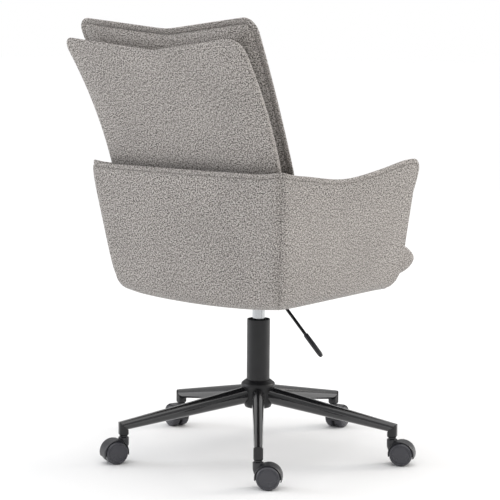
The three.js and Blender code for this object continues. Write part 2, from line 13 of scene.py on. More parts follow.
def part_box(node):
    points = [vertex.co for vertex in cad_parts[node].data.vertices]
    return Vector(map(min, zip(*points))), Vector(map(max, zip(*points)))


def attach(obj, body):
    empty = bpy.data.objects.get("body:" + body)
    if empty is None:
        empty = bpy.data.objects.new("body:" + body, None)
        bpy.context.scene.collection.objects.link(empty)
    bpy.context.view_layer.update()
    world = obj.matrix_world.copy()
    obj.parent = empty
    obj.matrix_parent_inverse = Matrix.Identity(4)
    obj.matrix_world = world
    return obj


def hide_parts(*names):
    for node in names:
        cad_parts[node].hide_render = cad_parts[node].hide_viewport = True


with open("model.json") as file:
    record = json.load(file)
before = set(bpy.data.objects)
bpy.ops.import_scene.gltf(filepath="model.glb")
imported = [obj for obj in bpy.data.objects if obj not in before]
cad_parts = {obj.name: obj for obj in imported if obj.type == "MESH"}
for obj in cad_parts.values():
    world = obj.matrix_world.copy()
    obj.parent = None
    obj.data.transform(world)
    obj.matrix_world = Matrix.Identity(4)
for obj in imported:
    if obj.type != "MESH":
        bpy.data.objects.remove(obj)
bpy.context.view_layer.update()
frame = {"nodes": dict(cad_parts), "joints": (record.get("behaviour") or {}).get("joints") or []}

bl_info = {
    "name": "Swivel Tub Chair",
    "version": (1, 0, 0),
    "blender": (4, 5, 0),
    "location": "View3D > Sidebar > Chair",
    "description": "Upholstery, enamelled base, casters and studio for a swivel tub chair",
    "category": "Object",
}

LEGS = 5
JOINTS = {joint["name"]: joint for joint in frame["joints"]}
MM = 0.001


# ---- small helpers ---------------------------------------------------------------------------
def linear(hex_colour):
    """The linear colour of an sRGB hex value such as "#a39e9a"."""
    values = [int(hex_colour[i:i + 2], 16) / 255 for i in (1, 3, 5)]
    return tuple(v / 12.92 if v <= 0.04045 else ((v + 0.055) / 1.055) ** 2.4 for v in values)


def mix(a, b, share):
    return a + (b - a) * share


def smooth_step(x):
    x = np.clip(x, 0, 1)
    return x * x * (3 - 2 * x)


def add_node(tree, kind, inputs=(), **settings):
    """Adds a node. inputs maps a socket's name or number to a value or to the socket it reads."""
    new = tree.nodes.new(kind)
    for key, value in settings.items():
        setattr(new, key, value)
    for key, value in dict(inputs).items():
        if isinstance(value, bpy.types.NodeSocket):
            tree.links.new(value, new.inputs[key])
        else:
            new.inputs[key].default_value = value
    return new


def new_finish(name, draw):
    """A material whose shader draw(tree) returns."""
    finish = bpy.data.materials.new(name)
    finish.use_nodes = True
    tree = finish.node_tree
    tree.nodes.clear()
    shader = draw(tree)
    add_node(tree, "ShaderNodeOutputMaterial", {"Surface": shader.outputs[0]})
    return finish


def tone_ramp(tree, factor, stops):
    """A colour ramp over (position, hex) stops."""
    ramp = add_node(tree, "ShaderNodeValToRGB", {0: factor})
    elements = ramp.color_ramp.elements
    while len(elements) < len(stops):
        elements.new(0.5)
    for element, (position, colour) in zip(elements, stops):
        element.position = position
        element.color = (*linear(colour), 1)
    return ramp.outputs[0]


# ---- surfaces --------------------------------------------------------------------------------
def sheet_of(points, wrap_rows=False, wrap_columns=False, cloth=None, caps=False):
    """One shell for build(): a grid of points (rows, columns, xyz) with a face between neighbours.

    A wrapped direction joins its last line to its first. cloth is the flat place of each point in
    metres, with one more row or column where that direction wraps. caps closes both end rows.
    """
    rows, columns = points.shape[:2]
    i, j = np.meshgrid(
        np.arange(rows if wrap_rows else rows - 1),
        np.arange(columns if wrap_columns else columns - 1), indexing="ij")
    i, j = i.ravel(), j.ravel()
    k, m = (i + 1) % rows, (j + 1) % columns
    corners = [(i, j), (k, j), (k, m), (i, m)]
    faces = np.stack([a * columns + b for a, b in corners], axis=1)
    flat = None
    if cloth is not None:
        corners = (i, j), (i + 1, j), (i + 1, j + 1), (i, j + 1)
        flat = np.stack([cloth[a, b] for a, b in corners], 1)
    ends = []
    if caps:
        ring = np.arange(columns)
        ends = [ring[::-1].tolist(), (ring + (rows - 1) * columns).tolist()]
    return points.reshape(-1, 3), faces.tolist(), flat, ends


def build(name, shells, finish, sharp=40):
    """An object from shells, with doubled points merged, faces out and smooth up to an angle."""
    points, faces, flats, ends, start = [], [], [], [], 0
    for shell_points, shell_faces, flat, shell_ends in shells:
        points.append(shell_points)
        faces += [[v + start for v in face] for face in shell_faces]
        ends += [[v + start for v in face] for face in shell_ends]
        if flat is not None:
            flats.append(flat.reshape(-1, 2))
        start += len(shell_points)
    mesh = bpy.data.meshes.new(name)
    mesh.from_pydata(np.concatenate(points).tolist(), [], faces + ends)
    if flats:
        flat = np.concatenate(flats)
        capped = sum(len(face) for face in ends)
        flat = np.concatenate([flat, np.zeros((capped, 2))])
        mesh.uv_layers.new(name="cloth").uv.foreach_set("vector", flat.astype(np.float32).ravel())
    work = bmesh.new()
    work.from_mesh(mesh)
    bmesh.ops.remove_doubles(work, verts=work.verts, dist=2e-6)
    bmesh.ops.recalc_face_normals(work, faces=work.faces)
    work.to_mesh(mesh)
    work.free()
    mesh.polygons.foreach_set("use_smooth", np.ones(len(mesh.polygons), bool))
    mesh.set_sharp_from_angle(angle=math.radians(sharp))
    mesh.materials.append(finish)
    piece = bpy.data.objects.new(name, mesh)
    bpy.context.scene.collection.objects.link(piece)
    return piece


def moved(points, matrix):
    """The points of an array (..., 3) under a 4 x 4 matrix."""
    m = np.array(matrix)
    return points @ m[:3, :3].T + m[:3, 3]


def filleted(corners, radius, closed=False, steps=5):
    """A profile whose corners are rounded: each becomes a short parabola between its two sides."""
    corners = np.asarray(corners, float)
    before, after = np.roll(corners, 1, axis=0), np.roll(corners, -1, axis=0)
    t = np.linspace(0, 1, steps)[:, None]
    profile = []
    for a, b, c in zip(before, corners, after):
        reach = min(radius, np.linalg.norm(a - b) * 0.48, np.linalg.norm(c - b) * 0.48)
        start = b + (a - b) / np.linalg.norm(a - b) * reach
        end = b + (c - b) / np.linalg.norm(c - b) * reach
        profile.append(start * (1 - t) ** 2 + 2 * b * t * (1 - t) + end * t ** 2)
    if not closed:
        profile[0], profile[-1] = corners[:1], corners[-1:]
    return np.concatenate(profile)


def turned(profile, segments=64):
    """A profile of (radius, height) pairs carried round the Z axis, for sheet_of()."""
    a = np.linspace(0, 2 * np.pi, segments, endpoint=False)
    r, z = np.asarray(profile, float).T
    ring = np.stack([np.cos(a), np.sin(a), np.zeros_like(a)], axis=-1)
    return r[:, None, None] * ring[None] + np.array([0, 0, 1.0]) * z[:, None, None]


def lathe(profile, segments=64, loop=False):
    """The shell of a turned piece; a loop profile closes on itself."""
    return sheet_of(turned(profile, segments), wrap_rows=loop, wrap_columns=True)


def swept(path, sides, ups, section):
    """A section of (side, up) pairs carried along a path with a side and an up vector at each
    point. A section of shape (points, pairs, 2) changes along the path."""
    section = np.broadcast_to(section, (len(path), *np.shape(section)[-2:]))
    across = section[..., :1] * sides[:, None]
    return path[:, None] + across + section[..., 1:] * ups[:, None]


def unit(vectors):
    return vectors / np.linalg.norm(vectors, axis=-1, keepdims=True)


def run_length(points, axis=0):
    """Distance along a line of points, starting at nought."""
    steps = np.linalg.norm(np.diff(points, axis=axis), axis=-1)
    start = np.zeros_like(np.take(steps, [0], axis=axis))
    return np.concatenate([start, np.cumsum(steps, axis=axis)], axis=axis)


def lay_cloth(piece):
    """Gives each face its flat place on the cloth, seen along the axis it faces most."""
    mesh = piece.data
    co = np.zeros(len(mesh.vertices) * 3)
    mesh.vertices.foreach_get("co", co)
    corner = np.zeros(len(mesh.loops), int)
    mesh.loops.foreach_get("vertex_index", corner)
    normals = np.zeros(len(mesh.polygons) * 3)
    mesh.polygons.foreach_get("normal", normals)
    sizes = np.zeros(len(mesh.polygons), int)
    mesh.polygons.foreach_get("loop_total", sizes)
    facing = np.repeat(np.abs(normals.reshape(-1, 3)).argmax(axis=1), sizes)
    first = np.where(facing == 0, 1, 0)
    second = np.where(facing == 2, 1, 2)
    place = co.reshape(-1, 3)[corner]
    rows = np.arange(len(corner))
    flat = np.stack([place[rows, first], place[rows, second]], axis=1)
    layer = mesh.uv_layers.get("cloth") or mesh.uv_layers.new(name="cloth")
    layer.uv.foreach_set("vector", flat.astype(np.float32).ravel())


def inflate(piece, held, pressure, cap, frames=20):
    """Cloth simulation: air pressure rounds a sewn form while the held points stay in place.

    No point moves further than cap, and the result is written into the mesh.
    """
    mesh = piece.data
    rest = np.zeros(len(mesh.vertices) * 3, np.float32)
    mesh.vertices.foreach_get("co", rest)
    seam = piece.vertex_groups.new(name="seam")
    seam.add([int(v) for v in held], 1.0, "REPLACE")
    cloth = piece.modifiers.new("Cloth", "CLOTH")
    settings = cloth.settings
    settings.use_pressure = True
    settings.uniform_pressure_force = pressure
    settings.vertex_group_mass = "seam"
    settings.effector_weights.gravity = 0
    scene = bpy.context.scene
    for number in range(1, frames + 1):
        scene.frame_set(number)
    result = piece.evaluated_get(bpy.context.evaluated_depsgraph_get()).to_mesh()
    blown = np.zeros_like(rest)
    result.vertices.foreach_get("co", blown)
    piece.modifiers.remove(cloth)
    piece.vertex_groups.remove(seam)
    scene.frame_set(1)
    shift = (blown - rest).reshape(-1, 3)
    length = np.linalg.norm(shift, axis=1, keepdims=True)
    shift *= np.minimum(1, cap / np.maximum(length, 1e-9))
    mesh.vertices.foreach_set("co", (rest.reshape(-1, 3) + shift).ravel())
    mesh.update()


def subdivided(piece, levels=1):
    """Adds one subdivision, the same in the view and in the render."""
    finer = piece.modifiers.new("Subdivision", "SUBSURF")
    finer.levels = levels
    finer.render_levels = levels


def belongs(piece, body, slot, *nodes):
    """The piece rides on a body and stands for CAD nodes. The slot argument is not used."""
    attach(piece, body)
    if nodes:
        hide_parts(*nodes)
    return piece


def cad_finish(names, finish):
    """Gives CAD nodes a finish in place of their plain colour."""
    for name in names:
        mesh = frame["nodes"][name].data
        mesh.materials.clear()
        mesh.materials.append(finish)


# ---- settings --------------------------------------------------------------------------------
def length(name, description, default):
    return bpy.props.FloatProperty(
        name=name, description=description, default=default, unit="LENGTH")


def colour(name, description, hex_value):
    return bpy.props.FloatVectorProperty(
        name=name, description=description, default=linear(hex_value), size=3, subtype="COLOR")


TUB_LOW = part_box("tub_shell")[0]
SEAT_LOW, SEAT_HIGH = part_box("seat_cushion")
COLUMN_LOW, COLUMN_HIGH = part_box("column_tube")
BOARD_LOW, BOARD_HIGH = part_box("seat_board")
CYLINDER_LOW, CYLINDER_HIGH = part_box("gas_cylinder")
HUB_LOW, HUB_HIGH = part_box("base_hub")


TIP_RISE, TIP_RUN = 0.030, 0.024    # rounding of an arm's front lower corner, up and along


class TubSettings(bpy.types.PropertyGroup):
    bottom: length("Bottom", "Lowest point of the side walls", TUB_LOW.z)
    rim: length("Rim", "Top of the flange at the rear corners", 0.647)
    front: length("Front", "Front edge of the arms, without the flange", -0.2155)
    rear_low: length("Rear at the bottom", "Rear face at the bottom", 0.213)
    rear_high: length("Rear at the rim", "Rear face at the rim", 0.257)
    rear_half_low: length("Rear half width, bottom", "Half width at the rear corners", 0.231)
    rear_half_high: length("Rear half width, rim", "Half width at the rear corners", 0.270)
    front_half_low: length("Front half width, bottom", "Half width at the arms' fronts", 0.223)
    front_half_high: length("Front half width, rim", "Half width at the arms' fronts", 0.269)
    corner: length("Corner radius", "Radius of the rear corners in plan", 0.022)
    bow: length("Rear bow", "How far the rear wall bows back in its middle", 0.006)
    edge: length("Lower edge", "Radius of the rounded lower edge", 0.030)
    wall: length("Wall", "Thickness of the padded wall", 0.025)
    front_edge: length("Front edge", "Radius of the upright edges of an arm's front", 0.004)
    tip: length("Arm tip", "Radius of the arm's front top corner", 0.012)
    ear: length("Corner peak", "Rise of the flange at the rear corners", 0.006)
    flange: length("Flange", "Height of the flat sewn flange above the wall", 0.0105)
    flange_thick: length("Flange thickness", "Two layers of folded cloth", 0.005)
    flange_inset: length("Flange inset", "Middle of the flange, in from the outer face", 0.0042)


class BackSettings(bpy.types.PropertyGroup):
    bottom: length("Bottom", "Lower edge of both pieces", 0.477)
    level: length("Level", "Height where the leaning curves are counted from", 0.650)
    rear_face: bpy.props.FloatVectorProperty(
        name="Rear face", description="Offset, slope and curve of the panel's rear face", size=3,
        default=(0.2275, 0.312, 0.8))
    seam_plane: bpy.props.FloatVectorProperty(
        name="Seam plane", description="Offset, slope and curve of the cushion's flange", size=3,
        default=(0.175, 0.392, 0.2))
    panel_thick: length("Panel", "Thickness of the rear panel", 0.024)
    fore: length("Front half", "Cushion in front of its flange", 0.034)
    aft: length("Rear half", "Cushion behind its flange", 0.026)
    flange: length("Flange", "Width of the cushion's flat flange", 0.0125)


class SeatSettings(bpy.types.PropertyGroup):
    side_gap: length("Side gap", "Between the cushion and the tub's inner wall", 0.0032)
    crown: length("Crown", "How far the top may rise in its middle", 0.009)


class BaseSettings(bpy.types.PropertyGroup):
    radius: length("Base radius", "Column axis to caster stem", 0.306)
    socket: length("Socket", "Width of the square socket at a leg's end", 0.020)
    wheel: length("Wheel radius", "Radius of each caster wheel", 0.025)
    trail: length("Trail", "Caster stem to wheel axle", 0.0215)


class FinishSettings(bpy.types.PropertyGroup):
    thread_pale: colour("Pale thread", "Lightest yarn of the tweed", "#c9c4bf")
    thread_mid: colour("Middle thread", "Commonest yarn of the tweed", "#918c88")
    thread_dark: colour("Dark thread", "Darkest yarn of the tweed", "#3f3b38")
    enamel: colour("Enamel", "Black powder coat", "#161618")
    nylon: colour("Nylon", "Caster and grip plastic", "#26262a")
    wheel: colour("Wheel", "Caster wheel plastic", "#3a3a40")


SETTINGS = {
    "tub": TubSettings, "back": BackSettings, "seat": SeatSettings, "base": BaseSettings,
    "finish": FinishSettings,
}


def settings(name):
    return getattr(bpy.context.scene, "chair_" + name)


# ---- finishes --------------------------------------------------------------------------------
FINISHES = {}


def finish_for(name):
    """The finish of that name, drawn when it is first asked for."""
    if name not in FINISHES:
        label, draw = FINISH_CARDS[name]
        FINISHES[name] = new_finish(label, draw)
    return FINISHES[name]


def melange_tweed(tree):
    """Polyester melange tweed, plain woven from slubby yarns of three greys. The eye sees a grain
    of pale and dark flecks, longer along the yarns, and no shine but a soft sheen at the edges."""
    tones = settings("finish")
    pitch = 2.2 * MM               # yarn spacing; real yarns are about 1 mm and would not show
    slub = 5 * MM                  # length of one fleck along its yarn
    flat = add_node(tree, "ShaderNodeUVMap", uv_map="cloth").outputs[0]

    def yarns(along_x):
        stretch = (1 / slub, 1 / pitch, 1) if along_x else (1 / pitch, 1 / slub, 1)
        placed = add_node(tree, "ShaderNodeMapping", {0: flat, "Scale": stretch})
        return add_node(tree, "ShaderNodeTexNoise", {
            "Vector": placed.outputs[0], "Scale": 1.0, "Detail": 2.0, "Roughness": 0.6}).outputs[0]

    placed = add_node(tree, "ShaderNodeMapping", {0: flat, "Scale": (1 / pitch, 1 / pitch, 1)})
    checks = add_node(tree, "ShaderNodeTexChecker", {0: placed.outputs[0], "Scale": 1.0})
    fleck = add_node(tree, "ShaderNodeMix", {
        "Factor": checks.outputs[1], "A": yarns(True), "B": yarns(False)})
    grain = add_node(tree, "ShaderNodeTexNoise", {
        "Vector": flat, "Scale": 1 / (2.4 * MM), "Detail": 1.0})
    cloud = add_node(tree, "ShaderNodeTexNoise", {"Vector": flat, "Scale": 9.0, "Detail": 2.0})
    mixed = add_node(tree, "ShaderNodeMix", {
        "Factor": 0.42, "A": fleck.outputs[0], "B": grain.outputs[0]})
    spread = add_node(tree, "ShaderNodeMapRange", {
        0: mixed.outputs[0], "From Min": 0.42, "From Max": 0.58})
    ramp = add_node(tree, "ShaderNodeValToRGB", {0: spread.outputs[0]})
    stops = ramp.color_ramp.elements
    stops.new(0.45)
    for stop, place, tone in zip(
            stops, (0.0, 0.45, 1.0), (tones.thread_dark, tones.thread_mid, tones.thread_pale)):
        stop.position = place
        stop.color = (*tone, 1)
    patchy = add_node(tree, "ShaderNodeMapRange", {
        0: cloud.outputs[0], "From Min": 0.3, "From Max": 0.7, "To Min": 0.95, "To Max": 1.05})
    tinted = add_node(tree, "ShaderNodeVectorMath", {
        0: ramp.outputs[0], 1: patchy.outputs[0]}, operation="MULTIPLY")
    bump = add_node(tree, "ShaderNodeBump", {
        "Strength": 0.45, "Distance": 0.7 * MM, "Height": mixed.outputs[0]})
    return add_node(tree, "ShaderNodeBsdfPrincipled", {
        "Base Color": tinted.outputs[0], "Roughness": 0.95, "Specular IOR Level": 0.2,
        "Sheen Weight": 0.22, "Sheen Roughness": 0.45, "Normal": bump.outputs[0]})


def grainy(tree, grit, strength, rough, rough_swing):
    """A fine noise in Object coordinates as a bump and as a roughness that swings a little."""
    place = add_node(tree, "ShaderNodeTexCoord").outputs["Object"]
    noise = add_node(tree, "ShaderNodeTexNoise", {
        "Vector": place, "Scale": 1 / grit, "Detail": 2.0})
    bump = add_node(tree, "ShaderNodeBump", {
        "Strength": strength, "Distance": 0.1 * MM, "Height": noise.outputs[0]})
    broad = add_node(tree, "ShaderNodeTexNoise", {"Vector": place, "Scale": 30.0, "Detail": 3.0})
    swing = add_node(tree, "ShaderNodeMapRange", {
        0: broad.outputs[0], "From Min": 0.3, "From Max": 0.7,
        "To Min": rough - rough_swing, "To Max": rough + rough_swing})
    return bump.outputs[0], swing.outputs[0]


def satin_enamel(tree):
    """Black powder coat, sprayed and baked: a fine orange-peel skin with a broad soft highlight."""
    bump, rough = grainy(tree, 1.2 * MM, 0.25, 0.42, 0.05)
    return add_node(tree, "ShaderNodeBsdfPrincipled", {
        "Base Color": (*settings("finish").enamel, 1), "Roughness": rough, "IOR": 1.5,
        "Normal": bump})


def gloss_enamel(tree):
    """Smooth black gloss enamel on the oval legs: long clear highlights, a faint ripple."""
    bump, rough = grainy(tree, 6 * MM, 0.12, 0.2, 0.04)
    return add_node(tree, "ShaderNodeBsdfPrincipled", {
        "Base Color": (*settings("finish").enamel, 1), "Roughness": rough, "IOR": 1.5,
        "Coat Weight": 1.0, "Coat Roughness": 0.12, "Normal": bump})


def bright_chrome(tree):
    """Hard chrome plate on the gas cylinder, ground and polished: mirror-like, faint rub lines."""
    place = add_node(tree, "ShaderNodeTexCoord").outputs["Object"]
    lines = add_node(tree, "ShaderNodeMapping", {0: place, "Scale": (60, 60, 900)})
    noise = add_node(tree, "ShaderNodeTexNoise", {"Vector": lines.outputs[0], "Scale": 1.0})
    rough = add_node(tree, "ShaderNodeMapRange", {
        0: noise.outputs[0], "To Min": 0.14, "To Max": 0.26})
    return add_node(tree, "ShaderNodeBsdfPrincipled", {
        "Base Color": (*linear("#b4b6b8"), 1), "Metallic": 1.0, "Roughness": rough.outputs[0]})


def zinc_plate(tree):
    """Bright zinc plate on turned and pressed steel: pale, slightly mottled."""
    bump, rough = grainy(tree, 1.5 * MM, 0.2, 0.36, 0.08)
    return add_node(tree, "ShaderNodeBsdfPrincipled", {
        "Base Color": (*linear("#b9bbbd"), 1), "Metallic": 1.0, "Roughness": rough, "Normal": bump})


def moulded_nylon(tree):
    """Glass-filled nylon moulded in a spark-eroded tool: near black, finely pitted, dull shine."""
    bump, rough = grainy(tree, 0.8 * MM, 0.35, 0.38, 0.06)
    return add_node(tree, "ShaderNodeBsdfPrincipled", {
        "Base Color": (*settings("finish").nylon, 1), "Roughness": rough, "IOR": 1.53,
        "Normal": bump})


def wheel_nylon(tree):
    """Polished charcoal nylon of the wheels, with light scuffs from rolling."""
    bump, rough = grainy(tree, 2.5 * MM, 0.12, 0.3, 0.07)
    return add_node(tree, "ShaderNodeBsdfPrincipled", {
        "Base Color": (*settings("finish").wheel, 1), "Roughness": rough, "IOR": 1.53,
        "Normal": bump})


def black_acetal(tree):
    """Moulded acetal of the guide bush: dyed dark grey and slightly waxy."""
    bump, rough = grainy(tree, 2 * MM, 0.1, 0.4, 0.05)
    return add_node(tree, "ShaderNodeBsdfPrincipled", {
        "Base Color": (*linear("#4c4c4e"), 1), "Roughness": rough, "IOR": 1.48, "Normal": bump})


def dust_cloth(tree):
    """Black spun-bonded polypropylene under the seat: matt, with a dimpled bond pattern."""
    place = add_node(tree, "ShaderNodeTexCoord").outputs["Object"]
    dimples = add_node(tree, "ShaderNodeTexVoronoi", {"Vector": place, "Scale": 1 / (2.5 * MM)})
    bump = add_node(tree, "ShaderNodeBump", {
        "Strength": 0.4, "Distance": 0.3 * MM, "Height": dimples.outputs[0]})
    tone = tone_ramp(tree, dimples.outputs[0], [(0.0, "#161617"), (0.6, "#29292a")])
    return add_node(tree, "ShaderNodeBsdfPrincipled", {
        "Base Color": tone, "Roughness": 0.95, "Normal": bump.outputs[0]})


FINISH_CARDS = {
    "tweed": ("melange tweed, woven", melange_tweed),
    "satin": ("powder coat, satin black", satin_enamel),
    "gloss": ("enamel, gloss black", gloss_enamel),
    "chrome": ("hard chrome, polished", bright_chrome),
    "zinc": ("zinc plate, bright", zinc_plate),
    "nylon": ("glass-filled nylon, moulded", moulded_nylon),
    "wheel": ("nylon, polished charcoal", wheel_nylon),
    "acetal": ("acetal, moulded", black_acetal),
    "dust": ("spun-bonded cloth, black", dust_cloth),
}


# ---- the upholstered tub -----------------------------------------------------------------------
# Places round the tub are counted by u: 0 at the left arm's front, ARM at the end of that arm,
# ARM + CORNER past the rear corner, 1 in the middle of the rear wall, and 2 - u on the right.
ARM = 0.5
CORNER = 0.2
SEAM_AT = ARM + CORNER / 2


def tub_plan(u, z, inset):
    """Points of the tub's wall at a place u, a height and a distance in from its outer face.

    A straight arm, then a circular corner, then a rear wall bowed as a parabola. All widths grow
    in proportion to height.
    """
    tub = settings("tub")
    share = (z - tub.bottom) / (tub.rim - tub.bottom)
    rear_x = mix(tub.rear_half_low, tub.rear_half_high, share) - inset
    front_x = mix(tub.front_half_low, tub.front_half_high, share) - inset
    rear_y = mix(tub.rear_low, tub.rear_high, share) - inset
    radius = np.maximum(tub.corner - inset, 0.012)
    w = np.minimum(u, 2 - u)
    arm = np.clip(w / ARM, 0, 1)
    turn = np.clip((w - ARM) / CORNER, 0, 1) * np.pi / 2
    wall = np.clip((w - ARM - CORNER) / (1 - ARM - CORNER), 0, 1)
    x = mix(front_x, rear_x, arm) - radius * (1 - np.cos(turn)) - (rear_x - radius) * wall
    y = mix(tub.front, rear_y - radius, arm) + radius * np.sin(turn)
    y = y + np.where(w > ARM, tub.bow * (1 - (x / rear_x) ** 2), 0)
    return np.stack(np.broadcast_arrays(np.where(u > 1, -x, x), y, z), axis=-1)


def from_corner(u):
    """Distance along the tub from its nearest upright seam: negative on the arm, positive on the
    rear wall."""
    tub = settings("tub")
    w = np.minimum(u, 2 - u)
    arc = tub.corner * np.pi / 4
    near = np.clip((w - SEAM_AT) / (CORNER / 2), -1, 1) * arc
    on_arm = np.clip(1 - w / ARM, 0, 1) * (tub.rear_high - tub.corner - tub.front)
    on_rear = np.clip((w - ARM - CORNER) / (1 - ARM - CORNER), 0, 1) * (tub.rear_half_high - tub.corner)
    return near - on_arm + on_rear


def tub_rim(u):
    """Height of the flange's top: it dips along each arm, rises towards the arm's tip and peaks
    a little at the rear corners. The dip, the rise and the peak are bell curves."""
    tub = settings("tub")
    y = tub_plan(u, tub.rim, 0.0)[..., 1]
    dip = 0.019 * np.exp(-((y - 0.045) / 0.125) ** 2)
    rise = 0.012 * np.exp(-((y + 0.195) / 0.075) ** 2)
    ear = tub.ear * np.exp(-(from_corner(u) / 0.030) ** 2)
    return tub.rim - dip + rise + ear


def tub_cover():
    """The closed cover: a section from the rounded lower edge up the outer face to the seam under
    the flange, over the inner roll, down the inner face and back along the bottom. The section
    runs round the tub and ends in a flat front with rounded edges at each arm."""
    tub = settings("tub")
    thick = tub.wall
    nose_angle = np.linspace(0, np.pi / 2, 8)
    nose = (1 - np.cos(nose_angle)) * tub.front_edge / (tub.rear_high - tub.front) * ARM
    half = np.concatenate([
        [0], nose, np.linspace(nose[-1], ARM, 60)[1:],
        np.linspace(ARM, ARM + CORNER, 33)[1:], np.linspace(ARM + CORNER, 1, 34)[1:]])
    flat = 1 - 2 * tub.front_edge / thick
    pinch = np.concatenate([
        [0], mix(flat, 1, np.sin(nose_angle)), np.ones(len(half) - len(nose) - 1)])
    u = np.concatenate([half, 2 - half[-2::-1]])[:, None]
    pinch = np.concatenate([pinch, pinch[-2::-1]])[:, None]
    away = from_corner(u)
    back_from_front = np.clip(-away.min() + np.minimum(away, 0), 0, None)
    wall = np.clip((np.minimum(u, 2 - u) - ARM - CORNER) / (1 - ARM - CORNER), 0, 1)
    arm = np.clip(np.minimum(u, 2 - u) / ARM, 0, 1)

    def quarter(s):
        """Height of a rounded corner at a share s of its length."""
        return 1 - np.sqrt(1 - np.clip(1 - s, 0, 1) ** 2)

    rim = tub_rim(u) - tub.flange - tub.tip * quarter(back_from_front / tub.tip)
    low = tub.bottom + 0.0068 * (1 - arm) - 0.007 * (1 - (1 - wall) ** 2)
    low = low + TIP_RISE * quarter(back_from_front / TIP_RUN)
    edge = tub.edge + 0.008 * np.exp(-(away / 0.04) ** 2)

    a = np.linspace(0, np.pi / 2, 12)
    t = np.linspace(0, 1, 56)[1:]
    arc = np.linspace(0, np.pi / 2, 8)[1:]
    over = np.linspace(np.radians(30), np.pi, 14)
    down = np.linspace(0, 1, 36)[1:]
    back = np.linspace(0, 1, 8)[1:-1]
    crown = (1 - (2 * t - 1) ** 6) * mix(0.0, 0.004, arm)
    roll, inner_roll = 0.0028, 0.011
    seam = tub.flange_inset
    middle, reach = (seam + thick) / 2, (thick - seam) / 2
    puff = 0.003 * np.sin(np.pi * np.clip(down * 2.2, 0, 1)) * (arm < 0.98)
    ones = np.ones_like(u)
    z = np.concatenate([
        low + edge * (1 - np.cos(a)),
        mix(low + edge, rim - roll, t),
        rim - roll + roll * np.sin(arc),
        rim - inner_roll + (inner_roll + 0.0005) * np.sin(over),
        mix(rim - inner_roll, low + 0.004, down),
        mix(low + 0.004, low, back)], axis=1)
    inset = np.concatenate([
        edge * (1 - np.sin(a)),
        -crown,
        seam * (1 - np.cos(arc)) * ones,
        (middle - reach * np.cos(over)) * ones,
        thick * ones + puff,
        mix(thick * ones, edge, back)], axis=1)
    # The upright seam at each rear corner draws the cloth in, and its allowance lifts it beside.
    outer = np.zeros(z.shape[1])
    outer[:len(a) + len(t)] = 1
    draw_in = 0.0022 * np.exp(-(away / 0.0016) ** 2)
    lift = 0.0007 * np.exp(-((np.abs(away) - 0.005) / 0.003) ** 2)
    inset = thick / 2 + (inset + (draw_in - lift) * outer - thick / 2) * pinch
    points = tub_plan(u, z, inset)
    along = run_length(points[:, len(a) + len(t) // 2])
    around = run_length(np.concatenate([points, points[:, :1]], axis=1), axis=1)[len(nose) + 20]
    cloth = np.stack(np.meshgrid(along, around, indexing="ij"), axis=-1)
    return sheet_of(points, wrap_columns=True, cloth=cloth)


def flange_section(height, thick):
    """A folded strip: narrow where it is stitched down, flat-sided above and round on top."""
    a = np.linspace(0, np.pi, 9)
    r = thick / 2
    foot = np.array([(0.3 * r, -0.004), (0.3 * r, 0.0), (0.72 * r, 0.0008), (r, 0.0028)])
    over = np.stack([r * np.cos(a), height - r + r * np.sin(a)], axis=-1)
    return np.concatenate([foot, over, foot[::-1] * [-1, 1]])


def strip(path, sides, ups, height, thick, scale):
    """A sewn flange: the folded section carried along a seam at a scale that fades at the ends,
    with its cloth laid lengthways."""
    section = flange_section(height, thick)
    points = swept(path, sides, ups, section * scale[:, None, None])
    along = run_length(path)
    across = run_length(np.concatenate([section, section[:1]]))
    cloth = np.stack(np.meshgrid(along, across, indexing="ij"), axis=-1)
    return sheet_of(points, wrap_columns=True, cloth=cloth, caps=True)


def tub_flange():
    """The flange's path: up the top of each arm's front, round its tip on a quarter circle and
    along the rim. It grows out of the arm's front and stands out most at the tip."""
    tub = settings("tub")
    to_u = ARM / (tub.rear_high - tub.corner - tub.front)
    turn = np.linspace(np.pi / 2, 0, 14)
    top_u = np.concatenate([
        np.linspace(tub.tip * to_u, ARM, 70)[1:], np.linspace(ARM, ARM + CORNER, 26)[1:],
        np.linspace(ARM + CORNER, 1, 30)[1:]])
    seam_z = float(tub_rim(np.array(tub.tip * to_u))) - tub.flange - tub.tip
    rise = np.linspace(seam_z - 0.075, seam_z, 26)[:-1]
    u = np.concatenate([np.zeros_like(rise), tub.tip * (1 - np.sin(turn)) * to_u, top_u])
    z = np.concatenate([rise, seam_z + tub.tip * np.cos(turn), tub_rim(top_u) - tub.flange])
    lean = np.concatenate([np.full_like(rise, np.pi / 2), turn, np.zeros_like(top_u)])
    scale = np.concatenate([
        mix(0.04, 1, smooth_step((rise - rise[0]) / 0.072)), np.ones(len(u) - len(rise))])
    u = np.concatenate([u, 2 - u[-2::-1]])
    z, lean, scale = (np.concatenate([v, v[-2::-1]]) for v in (z, lean, scale))
    path = tub_plan(u, z, tub.flange_inset)
    sides = unit(tub_plan(u, z, tub.flange_inset - 0.002) - path)
    ups = np.stack([0 * lean, -np.sin(lean), np.cos(lean)], axis=-1)
    return strip(path, sides, ups, tub.flange, tub.flange_thick, scale)


class CHAIR_OT_tub(bpy.types.Operator):
    """Makes the upholstered tub and its sewn flange"""
    bl_idname = "chair.tub"
    bl_label = "Tub"

    def execute(self, context):
        cover = build("tub_cover", [tub_cover()], finish_for("tweed"), sharp=70)
        flange = build("tub_flange", [tub_flange()], finish_for("tweed"), sharp=70)
        belongs(cover, "seat", "upholstery", "tub_shell")
        belongs(flange, "seat", "upholstery")
        return {"FINISHED"}


# ---- seat and back -----------------------------------------------------------------------------
def pillow(name, face_a, face_b):
    """Two sheets (rows, columns, 3) sewn together along their shared border."""
    piece = build(name, [sheet_of(face_a), sheet_of(face_b)], finish_for("tweed"), sharp=75)
    return piece


